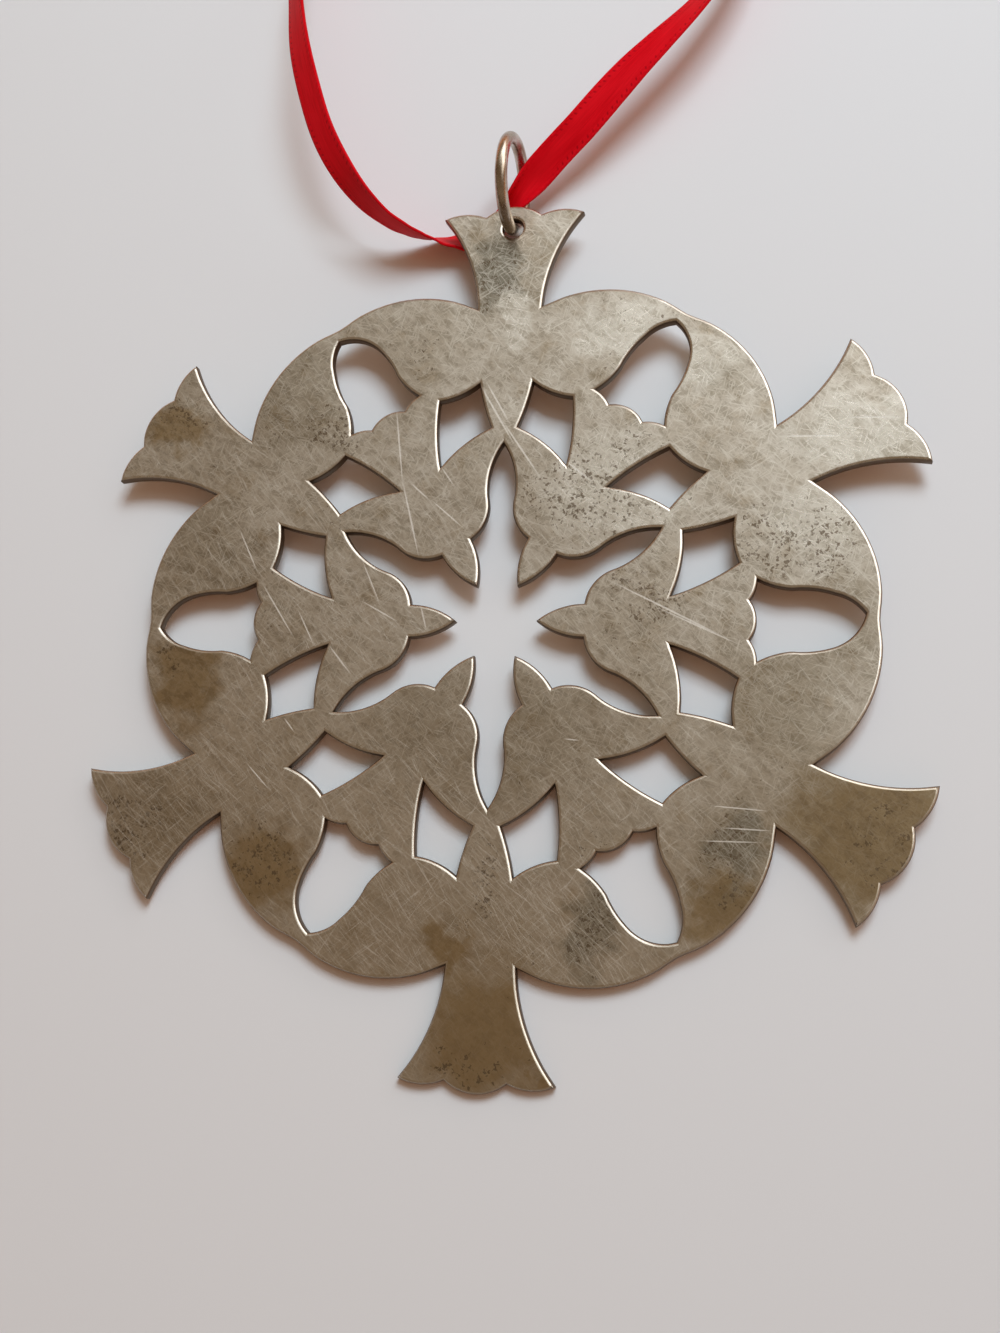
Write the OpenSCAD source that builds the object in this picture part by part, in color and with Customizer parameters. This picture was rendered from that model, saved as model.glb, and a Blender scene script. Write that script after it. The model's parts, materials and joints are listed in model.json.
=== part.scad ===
// A pierced silver ornament: twelve doves in two rings, cut from one sheet, with a jump ring
// through the top tail and a narrow ribbon loop through the ring.
// It lies face up, its top tail towards +Y, propped on the jump ring at that end.

/* [Sheet] */
// Thickness of the sheet
sheet_t = 1.0; // [0.6:0.1:1.4]

/* [Outer doves] */
// From the centre to the tips of the outer tails
tail_tip_r = 41.1; // [39:0.1:44]
// Width across the tips of an outer tail
tail_end_w = 14.0; // [11:0.2:16]
// Width of the middle lobe at the end of an outer tail
lobe_w = 5.6; // [4.4:0.2:7]
// How far that middle lobe stands past the tips
lobe_rise = 1.0; // [0.6:0.1:1.6]
// How far the two side lobes bow out
side_lobe_rise = 0.45; // [0.2:0.05:0.8]
// From the centre to the root of an outer tail
tail_root_r = 31.3; // [30.4:0.1:33]
// Width of an outer tail at its root
tail_root_w = 6.4; // [5:0.2:8]
// How far the sides of an outer tail are drawn in
tail_draw = 0.85; // [0.4:0.05:1.4]
// From the centre to where two outer wings meet on the rim
wing_meet_r = 34.4; // [33.6:0.1:36]
// How far the rim of an outer wing bows out
wing_bow = 2.15; // [1.4:0.05:2.8]
// From the centre to the narrow end of an outer head
head_end_r = 19.0; // [18.6:0.1:20]
// Width of an outer head at that end
head_end_w = 2.6; // [2:0.1:3.4]
// From the centre to the wide end of an outer head
head_back_r = 23.5; // [22.6:0.1:24.2]
// Width of an outer head at its wide end
head_back_w = 5.2; // [4.2:0.1:6]
// How far the sides of an outer head bow out
outer_head_bow = 0.12; // [0.04:0.02:0.3]
// How far the front edge of an outer wing bows out
outer_wing_bow = 0.3; // [0.1:0.05:0.6]

/* [Inner doves] */
// From the centre to the beaks of the inner doves
beak_r = 3.8; // [3:0.1:4.6]
// From the centre to the back of an inner head
neck_r = 8.2; // [7.6:0.1:8.8]
// Width of an inner head at its back
neck_w = 3.2; // [2.6:0.1:3.8]
// From the centre to the root of an inner tail
inner_root_r = 16.1; // [15.4:0.1:16.8]
// Width of an inner tail at its root
inner_root_w = 4.6; // [3.6:0.1:5.4]
// From the centre to the tips of the inner tails
inner_tip_r = 23.8; // [23:0.1:24.4]
// Width across the tips of an inner tail
inner_end_w = 7.5; // [6.6:0.1:8.2]
// Width of the middle lobe at the end of an inner tail
inner_lobe_w = 3.7; // [3:0.1:4.6]
// How deep the notches beside that lobe are
inner_notch = 0.65; // [0.3:0.05:0.9]
// How far that lobe stands out between its notches
inner_lobe_rise = 0.6; // [0.3:0.05:0.8]
// How far the two side lobes of an inner tail stand out
inner_side_rise = 0.15; // [0.05:0.05:0.3]
// How far the sides of an inner head bow out
inner_head_bow = 0.4; // [0.2:0.05:0.6]
// How far the breast between an inner head and its wing bows out
breast_bow = 0.5; // [0.2:0.05:0.7]
// How far the front edge of an inner wing is drawn in
inner_wing_draw = 0.6; // [0.3:0.05:0.8]
// How far the back edge of an inner wing bows out
inner_wing_bow = 0.38; // [0.1:0.02:0.5]
// How far the sides of an inner tail are drawn in
inner_tail_draw = 0.25; // [0.1:0.05:0.5]

/* [Openings] */
// From the centre to the tips of the star's rays
ray_tip_r = 17.4; // [16.6:0.1:17.8]
// Width of a ray of the star at its middle
ray_w = 2.3; // [1.8:0.1:2.8]
// From the centre to the middle of a ray
ray_mid_r = 11.4; // [10.8:0.1:12.4]
// Metal left between an inner tail's tip and the opening beside it
bridge_w = 2.3; // [1.6:0.1:2.8]
// Direction of that bridge, down from the line across the tail's tips, in degrees
bridge_turn = 47; // [40:1:54]
// Metal left between a teardrop's point and the rim
rim_w = 1.2; // [0.8:0.1:1.8]
// How far a teardrop's point leans to one side
drop_lean = 0.6; // [0:0.1:1]
// From the centre to a teardrop's shoulders
drop_shoulder_r = 30.6; // [29.8:0.1:31.4]
// Width of a teardrop across its shoulders
drop_shoulder_w = 4.8; // [4:0.1:5.4]
// From the centre to a teardrop's waist
drop_waist_r = 26.8; // [26:0.1:27.6]
// Width of a teardrop across its waist
drop_waist_w = 5.7; // [4.8:0.1:6.4]
// How far a teardrop's sides are drawn in below its waist
drop_foot_draw = 0.17; // [0.05:0.02:0.31]
// How far a teardrop's sides bow out above its waist
drop_side_bow = 0.2; // [0.05:0.05:0.4]
// How far a teardrop's longer shoulder bows out
drop_long_bow = 0.5; // [0.2:0.05:0.7]
// How far a teardrop's shorter shoulder bows out
drop_short_bow = 0.3; // [0.1:0.05:0.5]

/* [Jump ring] */
// Hole for the ring, through the top tail
hole_d = 2.0; // [1.8:0.1:2.6]
// From the end of the top tail to the centre of that hole
hole_inset = 2.4; // [1.9:0.1:3]
// Diameter of the ring's wire
wire_d = 1.2; // [0.8:0.1:1.4]
// Inside diameter of the ring
ring_id = 7.4; // [6.8:0.1:10]
// Play left between the leaning wire and the two rims of its hole
hole_play = 0.16; // [0.12:0.01:0.24]
// Sideways lean of the standing ring, in degrees
ring_lean = 4; // [0:1:6]
// Turn of the standing ring away from the tail's axis, in degrees
ring_swivel = 3; // [0:1:6]
// Width of the closed seam in the ring
seam_w = 0.08; // [0.04:0.02:0.2]
// Place of that seam round the ring, from the point opposite the hole, in degrees
seam_turn = -85; // [-100:5:100]

/* [Ribbon] */
// Width of the ribbon
ribbon_w = 3.2; // [2:0.1:3.4]
// Thickness of the ribbon
ribbon_t = 0.25; // [0.15:0.05:0.35]
// Length of the tied knot
knot_l = 5.6; // [5:0.2:7]
// Thickness of the tied knot
knot_d = 4.2; // [3.6:0.2:5]

/* [Hidden] */
$fn = 64;

// Six doves in each ring; the inner ring stands half a step away from the outer one.
doves = 6;
step = 360 / doves;
// Straight steps in each arc of the outline
arc_steps = 6;
// Cuts run past both faces by this much
past = 1;

// Size and stance of the ring: it leans in its hole until the wire meets both rims of the hole.
ring_r = (ring_id + wire_d) / 2;
wire_room = hole_d - hole_play;
stand = acos(wire_d / norm([wire_room, sheet_t])) - atan2(sheet_t, wire_room);
crown_r = tail_tip_r + lobe_rise;
hole_r = crown_r - hole_inset;
// The ring stands on the floor, which sets the height of the hole and the tilt of the sheet.
hole_z = ring_r * cos(ring_lean) * (1 - sin(stand)) + wire_d / 2;
hole_reach = hole_r + crown_r;
tilt = asin(hole_z / norm([hole_reach, sheet_t / 2])) - atan2(sheet_t / 2, hole_reach);
lift = crown_r * sin(tilt);
hole_y = hole_r * cos(tilt) - sheet_t / 2 * sin(tilt);
ring_over = cos(stand) * cos(ring_swivel) + sin(stand) * sin(ring_lean) * sin(ring_swivel);
ring_y = hole_y + ring_r * ring_over;
ring_reach = ring_r * sqrt(1 - pow(cos(ring_lean) * sin(ring_swivel), 2)) + wire_d / 2;
// The frame's origin lies on the floor under the middle of sheet and ring together.
mid_y = (ring_y + ring_reach - crown_r * cos(tilt) - sheet_t * sin(tilt)) / 2;

// Route of the ribbon, from the knot down the left arm, under the tail, through the ring and
// back up the right arm: [x, y, z, roll of its width, angle through which its width is cupped].
ribbon_route = [
    [-1.5, 109.2, 2.1, -80, 0],
    [-3.4, 106.4, 1.9, -74, 0],
    [-8.4, 101.8, 1.7, -68, 0],
    [-14.6, 96.0, 1.6, -66, 0],
    [-19.9, 89.5, 1.6, -65, 0],
    [-23.3, 82.5, 1.7, -64, 0],
    [-24.7, 75.2, 3.3, -60, 0],
    [-24.4, 68.0, 5.9, -54, 0],
    [-23.3, 61.4, 7.4, -48, 0],
    [-22.3, 56.1, 7.8, -40, 0],
    [-20.9, 51.0, 7.6, -37, 0],
    [-19.3, 46.4, 7.2, -39, 0],
    [-17.4, 42.8, 6.5, -46, 0],
    [-15.2, 39.9, 5.5, -63, 0],
    [-12.9, 38.0, 4.3, -84, 0],
    [-11.0, 37.2, 3.2, -99, 0],
    [-9.5, 36.9, 2.3, -111, 0],
    [-8.2, 36.8, 1.7, -122, 0],
    [-7.1, 36.7, 1.35, -133, 0],
    [-6.0, 36.8, 1.1, -145, 0],
    [-4.1, 37.0, 1.0, -172, 60],
    [-2.4, 37.9, 1.1, -178, 190],
    [-1.0, 39.3, 1.7, -178, 235],
    [0.3, 40.6, 2.5, -202, 170],
    [1.7, 42.2, 2.9, -212, 80],
    [3.0, 43.5, 3.3, -212, 20],
    [4.6, 45.0, 3.8, -211, 0],
    [6.6, 46.8, 4.4, -206, 0],
    [9.4, 49.8, 5.0, -192, 0],
    [11.7, 52.3, 5.3, -178, 0],
    [13.9, 54.6, 5.4, -166, 0],
    [17.7, 58.9, 5.2, -147, 0],
    [21.3, 64.5, 4.4, -132, 0],
    [23.7, 71.6, 2.9, -123, 0],
    [24.3, 79.5, 1.8, -117, 0],
    [22.2, 87.0, 1.6, -115, 0],
    [17.0, 94.2, 1.6, -115, 0],
    [10.2, 100.8, 1.7, -114, 0],
    [3.6, 106.0, 1.9, -106, 0],
    [0.3, 109.2, 2.1, -100, 0]
];
// The two cut ends past the knot
left_end_route = [
    [-1.4, 112.2, 2.1, 80, 0],
    [-2.6, 115.4, 1.7, 60, 0],
    [-4.6, 119.2, 1.2, 38, 0],
    [-6.4, 123.6, 0.9, 25, 0]
];
right_end_route = [
    [0.2, 112.2, 2.1, -80, 0],
    [1.4, 115.4, 1.7, -60, 0],
    [3.2, 118.8, 1.2, -38, 0],
    [5.8, 122.4, 0.9, -25, 0]
];
// The knot sits between the arms and the ends.
knot_at = [-0.6, 110.8, 2.15];
// Swept rings between two points of a route, and points across the ribbon
route_steps = 2;
across = 6;

// Outlines

// An arc from a to b that bows out to the left by rise; b itself is left out.
function arc(a, b, rise) =
    let (
        d = b - a,
        chord = norm(d),
        half = 2 * atan(2 * rise / chord),
        r = chord / (2 * sin(half)),
        left = [-d[1], d[0]] / chord,
        centre = (a + b) / 2 - left * r * cos(half)
    )
    [for (i = [0 : arc_steps - 1])
        let (u = half * (1 - 2 * i / arc_steps))
        centre + r * (left * cos(u) - d / chord * sin(u))];

// The mirror image of points across the Y axis, in the opposite order
function flip(p) = [for (i = [len(p) - 1 : -1 : 0]) [-p[i][0], p[i][1]]];

// All points but the last
function but_last(p) = [for (i = [0 : len(p) - 2]) p[i]];

// Points turned about the centre
function turned(p, a) =
    [for (q = p) [q[0] * cos(a) - q[1] * sin(a), q[0] * sin(a) + q[1] * cos(a)]];

// The same points once for each dove of a ring
function ring_of(p) = [for (i = [0 : doves - 1]) each turned(p, i * step)];

// A point beside the line between two inner doves, seen from a dove whose axis is +Y:
// along that line by r, and off it by off towards the dove
function beside_ray(r, off) =
    [r * sin(step / 2) - off * cos(step / 2), r * cos(step / 2) + off * sin(step / 2)];

// Rim of one outer dove, axis +Y, from its right wing round the tail to its left wing
function outer_dove_rim() =
    let (
        wing_end = beside_ray(wing_meet_r, 0),
        root = [tail_root_w / 2, tail_root_r],
        tip = [tail_end_w / 2, tail_tip_r],
        notch = [lobe_w / 2, tail_tip_r],
        right = concat(
            arc(wing_end, root, -wing_bow),
            arc(root, tip, tail_draw),
            arc(tip, notch, -side_lobe_rise)
        )
    )
    concat(
        right,
        arc(notch, [-notch[0], notch[1]], -lobe_rise),
        but_last(flip(concat(right, [notch])))
    );

// The star's edge along one inner dove, axis +Y: right wing, head and left wing
function inner_dove_front() =
    let (
        ray_tip = beside_ray(ray_tip_r, 0),
        wing = beside_ray(ray_mid_r, ray_w / 2),
        neck = [neck_w / 2, neck_r],
        right = concat(
            arc(ray_tip, wing, -inner_wing_draw),
            arc(wing, neck, breast_bow),
            arc(neck, [0, beak_r], inner_head_bow)
        )
    )
    concat(right, but_last(flip(concat(right, [[0, beak_r]]))));

// Tip of an inner tail, on the right of its axis
inner_tip = [inner_end_w / 2, inner_tip_r];

// The teardrop past an inner tail, whose scalloped end is its foot
function teardrop() =
    let (
        waist = [drop_waist_w / 2, drop_waist_r],
        shoulder = [drop_shoulder_w / 2, drop_shoulder_r],
        point = [-drop_lean, wing_meet_r - rim_w],
        notch = [inner_lobe_w / 2, inner_tip_r - inner_notch],
        side = concat(arc(inner_tip, waist, drop_foot_draw), arc(waist, shoulder, -drop_side_bow)),
        left_notch = [-notch[0], notch[1]]
    )
    concat(
        side,
        arc(shoulder, point, -drop_long_bow),
        arc(point, [-shoulder[0], shoulder[1]], -drop_short_bow),
        but_last(flip(concat(side, [shoulder]))),
        arc([-inner_tip[0], inner_tip[1]], left_notch, inner_side_rise),
        arc(left_notch, notch, inner_lobe_rise),
        arc(notch, inner_tip, inner_side_rise)
    );

// The kite between an inner tail, its wing, and the head and wing of an outer dove
function kite() =
    let (
        tail_root = [inner_root_w / 2, inner_root_r],
        head_end = beside_ray(head_end_r, head_end_w / 2),
        head_back = beside_ray(head_back_r, head_back_w / 2),
        tail_tip = inner_tip + bridge_w * [cos(bridge_turn), -sin(bridge_turn)]
    )
    concat(
        arc(tail_root, head_end, inner_wing_bow),
        arc(head_end, head_back, outer_head_bow),
        arc(head_back, tail_tip, outer_wing_bow),
        arc(tail_tip, tail_root, -inner_tail_draw)
    );

// Sweeps

// A point of a smooth curve through the rows of a route, from row i to row i + 1 at share u
function on_route(route, i, u) =
    let (
        last = len(route) - 1,
        a = route[max(i - 1, 0)],
        b = route[i],
        c = route[min(i + 1, last)],
        d = route[min(i + 2, last)],
        slope = c - a,
        curve = 2 * a - 5 * b + 4 * c - d,
        twist = 3 * b - a - 3 * c + d
    )
    (2 * b + slope * u + curve * pow(u, 2) + twist * pow(u, 3)) / 2;

// A route with more rows
function fine_route(route) =
    [for (i = [0 : len(route) - 1], k = [0 : (i < len(route) - 1 ? route_steps - 1 : 0)])
        on_route(route, i, k / route_steps)];

function unit(v) = v / norm(v);
function place(row) = [row[0], row[1], row[2]];

// Section of the ribbon at row i: a thin strip, rolled about the route and cupped across its width
function strip_section(rows, i) =
    let (
        row = rows[i],
        along = unit(place(rows[min(i + 1, len(rows) - 1)]) - place(rows[max(i - 1, 0)])),
        side = unit(cross(along, [0, 0, 1])),
        up = cross(side, along),
        wide = side * cos(row[3]) + up * sin(row[3]),
        high = up * cos(row[3]) - side * sin(row[3]),
        cup = max(row[4], 1),
        r = ribbon_w / (cup * PI / 180),
        level = r * (1 + cos(cup / 2)) / 2,
        angles = [for (k = [0 : across - 1]) cup * (k / (across - 1) - 1 / 2)]
    )
    [for (face = [1, -1], k = [0 : across - 1])
        let (
            u = angles[face > 0 ? k : across - 1 - k],
            d = r + face * ribbon_t / 2
        )
        place(row) + wide * d * sin(u) + high * (d * cos(u) - level)];

// A solid strip along a route
module strip(route) {
    rows = fine_route(route);
    sides = 2 * across;
    rings = len(rows);
    points = [for (i = [0 : rings - 1]) each strip_section(rows, i)];
    walls = [for (i = [0 : rings - 2], k = [0 : sides - 1])
        let (a = i * sides + k, b = i * sides + (k + 1) % sides)
        each [[a, b + sides, b], [a, a + sides, b + sides]]];
    first_end = [for (k = [0 : across - 2])
        each [[k, k + 1, sides - 1 - k], [k + 1, sides - 2 - k, sides - 1 - k]]];
    last = (rings - 1) * sides;
    last_end = [for (k = [0 : across - 2])
        each [[last + k + 1, last + k, last + sides - 1 - k],
              [last + k + 1, last + sides - 1 - k, last + sides - 2 - k]]];
    polyhedron(points, concat(walls, first_end, last_end), convexity = 10);
}

// From the sheet's own plane, centre at the origin, to its place as it lies
module as_it_lies() {
    translate([0, -mid_y, lift]) rotate([tilt, 0, 0]) children();
}

// Pieces

// One pierced sheet: the rim, the star, six teardrops, twelve kites and the hole for the ring
module dove_plate() {
    color("silver") as_it_lies() difference() {
        linear_extrude(sheet_t) difference() {
            polygon(ring_of(outer_dove_rim()));
            rotate(step / 2) {
                polygon(ring_of(inner_dove_front()));
                for (i = [0 : doves - 1]) rotate(i * step) {
                    polygon(teardrop());
                    polygon(kite());
                    mirror([1, 0]) polygon(kite());
                }
            }
        }
        translate([0, hole_r, -past]) cylinder(h = sheet_t + 2 * past, d = hole_d);
    }
}

// A round wire bent to a ring and closed at a seam; it stands in the tail's hole
module jump_ring() {
    hole_at = [0, hole_y - mid_y, hole_z];
    color("gainsboro")
        translate(hole_at)
        rotate([0, -ring_lean, -ring_swivel])
        rotate([stand, 0, 0])
        translate([0, ring_r, 0])
        rotate([0, 90, 0])
        difference() {
            rotate_extrude() translate([ring_r, 0]) circle(d = wire_d);
            rotate(seam_turn)
                translate([-seam_w / 2, 0, -wire_d])
                cube([seam_w, ring_r + wire_d, 2 * wire_d]);
        }
}

// The ribbon's loop, from one side of the knot through the ring to the other side
module ribbon() {
    color("crimson") strip(ribbon_route);
}

// Half of the knot's outline: a barrel that bulges at its middle
module knot_profile() {
    end = [knot_d / 4, knot_l / 2];
    start = [end[0], -end[1]];
    polygon(concat([[0, start[1]]], arc(start, end, -knot_d / 4), [end, [0, end[1]]]));
}

// The knot, a rolled lump lying along Y, and the two cut ends that leave it
module ribbon_knot() {
    color("firebrick") {
        translate(knot_at) rotate([-90, 0, 0]) rotate_extrude() knot_profile();
        strip(left_end_route);
        strip(right_end_route);
    }
}

dove_plate();
jump_ring();
ribbon();
ribbon_knot();
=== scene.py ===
# %% [markdown]
# # A pierced silver ornament on a red ribbon
# The real object is one flat sheet of silver, sawn into a rosette of doves. A small wire ring goes
# through a hole in the top tail, and a narrow satin ribbon runs through the ring and is tied in a loop.
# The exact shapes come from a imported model. This lesson adds what the bench and the loom leave on
# them: softened edges, tarnish, pits, scratches, threads and a tied knot.

import json
import math

import bmesh
import bpy
import numpy as np
from mathutils import Matrix, Vector
from mathutils.geometry import tessellate_polygon


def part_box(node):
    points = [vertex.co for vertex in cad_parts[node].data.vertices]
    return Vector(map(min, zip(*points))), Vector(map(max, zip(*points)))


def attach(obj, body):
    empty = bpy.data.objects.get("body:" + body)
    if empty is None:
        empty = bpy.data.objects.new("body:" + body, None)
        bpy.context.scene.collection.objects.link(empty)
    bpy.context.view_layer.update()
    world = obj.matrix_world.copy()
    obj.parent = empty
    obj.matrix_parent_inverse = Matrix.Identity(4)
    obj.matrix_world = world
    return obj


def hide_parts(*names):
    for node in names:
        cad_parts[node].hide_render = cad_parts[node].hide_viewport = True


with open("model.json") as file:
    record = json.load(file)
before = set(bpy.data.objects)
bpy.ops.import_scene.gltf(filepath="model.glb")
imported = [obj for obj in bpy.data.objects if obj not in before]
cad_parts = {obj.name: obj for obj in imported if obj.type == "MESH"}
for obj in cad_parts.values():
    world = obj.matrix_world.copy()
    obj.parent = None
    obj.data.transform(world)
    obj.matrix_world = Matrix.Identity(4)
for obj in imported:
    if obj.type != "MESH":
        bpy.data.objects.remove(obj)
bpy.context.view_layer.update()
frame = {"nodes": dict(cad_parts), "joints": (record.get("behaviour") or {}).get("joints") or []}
scene = bpy.context.scene
scene.view_settings.view_transform = "Standard"
MM = 0.001

# %% [markdown]
# ## The camera
# The ornament lies on a table and is looked at from close by, almost straight down. A close camera
# makes the near arms larger than the far ones, so its place matters more than its lens. The place was
# found from the six arms, which are equal on the real sheet. A camera this close needs a small clip
# start, or the nearest things would vanish.

# %% Place the camera
CAMERA_PLACE = Vector((0.024339, -0.035123, 0.118709))
CAMERA_RIGHT = Vector((0.98096, 0.04877, -0.18797)).normalized()
CAMERA_UP = Vector((-0.00409, 0.97292, 0.23108)).normalized()

camera_data = bpy.data.cameras.new("table_camera")
camera_data.sensor_fit = "VERTICAL"
camera_data.sensor_height = 36.0
camera_data.lens = 35.93
camera_data.clip_start = 0.01
camera = bpy.data.objects.new("table_camera", camera_data)
scene.collection.objects.link(camera)
turn = Matrix((CAMERA_RIGHT, CAMERA_UP, CAMERA_RIGHT.cross(CAMERA_UP))).transposed()
camera.matrix_world = Matrix.Translation(CAMERA_PLACE) @ turn.to_4x4()
scene.camera = camera
print("camera", round(CAMERA_PLACE.length * 1000), "mm from the middle of the sheet")

# %% [markdown]
# ## Shader maths in plain Python
# A material is a tree of nodes. Writing `1 - mask * 0.5` is easier to read than three Math nodes, so one
# small class wraps a node's output and lets Python's own operators add the Math nodes. Its `add` method
# makes every other kind of node: settings first, then the values or links of its sockets.


# %% Wrap a node's output
class Tone:
    """An output socket in a node tree; arithmetic on it adds Math nodes."""

    def __init__(self, tree, socket=None):
        self.tree = tree
        self.socket = socket

    def add(self, kind, settings=None, sockets=None, out=0):
        """A new node of this kind; the result wraps its output with this name or number."""
        node = self.tree.nodes.new(kind)
        for name, value in (settings or {}).items():
            setattr(node, name, value)
        for name, value in (sockets or {}).items():
            if isinstance(value, Tone):
                self.tree.links.new(value.socket, node.inputs[name])
            else:
                node.inputs[name].default_value = value
        return Tone(self.tree, node.outputs[out])

    def math(self, operation, first, second):
        return self.add("ShaderNodeMath", {"operation": operation}, {0: first, 1: second})

    def __add__(self, other):
        return self.math("ADD", self, other)

    __radd__ = __add__

    def __sub__(self, other):
        return self.math("SUBTRACT", self, other)

    def __rsub__(self, other):
        return self.math("SUBTRACT", other, self)

    def __mul__(self, other):
        return self.math("MULTIPLY", self, other)

    __rmul__ = __mul__

    def larger(self, other):
        return self.math("MAXIMUM", self, other)

    def step(self, low, high):
        """0 below low, 1 above high and a soft rise between them; turned round where high is lower."""
        if low > high:
            return 1 - self.step(high, low)
        settings = {"interpolation_type": "SMOOTHSTEP"}
        return self.add("ShaderNodeMapRange", settings, {"Value": self, "From Min": low, "From Max": high})


print("Tone wraps a socket")

# %% Mix colours and feed shaders
def mix_colours(mask, off, on, blend="MIX"):
    """Colour off where the mask is 0, colour on where it is 1."""
    settings = {"data_type": "RGBA", "blend_type": blend}
    off = off if isinstance(off, Tone) else (*off, 1)
    on = on if isinstance(on, Tone) else (*on, 1)
    return mask.add("ShaderNodeMix", settings, {0: mask, 6: off, 7: on}, out=2)


def new_material(name):
    """An empty material with a Principled shader, and the start of its tree."""
    material = bpy.data.materials.new(name)
    material.use_nodes = True
    return material, material.node_tree.nodes["Principled BSDF"], Tone(material.node_tree)


def feed(shader, **sockets):
    """Links or numbers on a shader's sockets; Base_Color stands for Base Color."""
    for name, value in sockets.items():
        socket = shader.inputs[name.replace("_", " ")]
        if isinstance(value, Tone):
            value.tree.links.new(value.socket, socket)
        else:
            socket.default_value = value


print("shader helpers ready")

# %% [markdown]
# ## Table, room and lamp
# Metal has little colour of its own to show: it shows the room. Above this table the room is dim and warm,
# and paler towards the far right. The room could be a picture, but soft steps on the direction of sight
# are enough: each step mixes one colour into the next. A Light Path node gives each kind of ray its own
# room. Mirrored rays see a broad bright window, which draws the white lines along the rims. Spread rays,
# which fill the shadows on the table, see a warm glow from the near right in place of the window. The
# camera itself sees a plain pale background.

# %% Colour the room
ROOM_ABOVE = (0.22, 0.155, 0.098)
ROOM_NEAR = (0.13, 0.08, 0.05)
ROOM_WALLS = (0.60, 0.27, 0.12)
ROOM_FAR_SIDE = (0.66, 0.635, 0.57)
NEAR_GLOW = (0.38, 0.18, 0.095)
WINDOW = (2.5, 2.5, 2.45)
BACKGROUND = (0.80, 0.79, 0.78)
DIAGONAL = 0.71

world = bpy.data.worlds.new("room")
world.use_nodes = True
scene.world = world
room = Tone(world.node_tree)
sight = room.add("ShaderNodeTexCoord", out="Generated")
right, far, height = (room.add("ShaderNodeSeparateXYZ", {}, {0: sight}, out=axis) for axis in "XYZ")
seen = room.add("ShaderNodeLightPath", out="Is Camera Ray")
spread = room.add("ShaderNodeLightPath", out="Is Diffuse Ray")

far_right = far + right * 0.6
low_walls = mix_colours(far_right.step(-0.35, 0.35), ROOM_NEAR, ROOM_WALLS)
colour = mix_colours(height.step(0.45, 0.15), ROOM_ABOVE, low_walls)
colour = mix_colours(far_right.step(-0.04, 0.44) * height.step(0.55, 0.85), colour, ROOM_FAR_SIDE)
lamp_side = (right + far) * DIAGONAL
off_lamp = room.add("ShaderNodeMath", {"operation": "ABSOLUTE"}, {0: (right - far) * DIAGONAL})
window = lamp_side.step(0.1, 0.3) * off_lamp.step(0.56, 0.42)
window = window * height.step(0.22, 0.34) * height.step(0.88, 0.80)
colour = mix_colours(window * (1 - spread), colour, WINDOW)
colour = mix_colours(spread * (far - right * 0.7).step(0.1, -0.5), colour, NEAR_GLOW)
feed(world.node_tree.nodes["Background"], Color=mix_colours(seen, colour, BACKGROUND))
print("room of", len(world.node_tree.nodes), "nodes")

# %% [markdown]
# One broad, cool lamp on the far side gives the soft shadows. It is hidden from mirrored rays, because its
# image would lie on the flat sheet as one glare. The table is a plain pale paper, far larger than the
# ornament. Further out its Alpha fades, so that a low view shows no edge against the background.

# %% Hang the lamp
LAMP_WAY = Vector((0.27, 0.57, 0.775)).normalized()
LAMP_DISTANCE = 0.42

lamp_data = bpy.data.lights.new("broad_lamp", "AREA")
lamp_data.shape = "RECTANGLE"
lamp_data.size = 0.20
lamp_data.size_y = 0.17
lamp_data.energy = 1.25
lamp_data.color = (0.77, 0.91, 1.0)
lamp = bpy.data.objects.new("broad_lamp", lamp_data)
scene.collection.objects.link(lamp)
lamp.visible_glossy = False
lamp_turn = LAMP_WAY.to_track_quat("Z", "Y").to_matrix().to_4x4()
lamp.matrix_world = Matrix.Translation(LAMP_WAY * LAMP_DISTANCE) @ lamp_turn
print("lamp", lamp_data.energy, "W at", [round(v, 3) for v in lamp.matrix_world.translation])

# %% Lay the table
FLOOR_COLOUR = (0.765, 0.78, 0.80, 1)
FLOOR_HALF = 2.0
FADE_FROM = 0.13
FADE_TO = 0.40

floor_mesh = bpy.data.meshes.new("table_top")
corners = [(x * FLOOR_HALF, y * FLOOR_HALF, 0) for x, y in ((-1, -1), (1, -1), (1, 1), (-1, 1))]
floor_mesh.from_pydata(corners, [], [(0, 1, 2, 3)])
floor = bpy.data.objects.new("table_top", floor_mesh)
scene.collection.objects.link(floor)
paper, paper_shader, start = new_material("pale_paper")
spot = start.add("ShaderNodeTexCoord", out="Object")
away = start.add("ShaderNodeVectorMath", {"operation": "LENGTH"}, {0: spot}, out="Value")
feed(paper_shader, Base_Color=FLOOR_COLOUR, Roughness=0.9, Alpha=away.step(FADE_TO, FADE_FROM))
floor_mesh.materials.append(paper)
print("table fades out between", FADE_FROM, "and", FADE_TO, "m")

# %% [markdown]
# ## Red satin
# A satin ribbon has a smooth face of long warp threads, which glint in fine streaks along the ribbon, and
# a thin cross thread that is turned back at each edge. The turns leave small nicks just inside both edges,
# which are darkened with painted shade. The pattern follows the strip, so it reads the strip's own UV map,
# which is written in metres: the first number runs along the ribbon and the second across it.

# %% Stretch noise and raise bumps
def stretched(place, length, width, angle=0.0, middle=(0, 0), depth=1.0):
    """A place turned by an angle and drawn out, so that these sizes become 1 on its axes."""
    turned = (0, 0, math.radians(angle))
    sockets = {0: place, "Location": (*middle, 0), "Rotation": turned, "Scale": (length, width, depth)}
    return place.add("ShaderNodeMapping", {"vector_type": "TEXTURE"}, sockets)


def noise(place, scale, detail=2.0, rough=0.5, out=0):
    """Soft noise; a larger scale gives smaller marks."""
    sockets = {"Vector": place, "Scale": scale, "Detail": detail, "Roughness": rough}
    return place.add("ShaderNodeTexNoise", {}, sockets, out=out)


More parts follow.
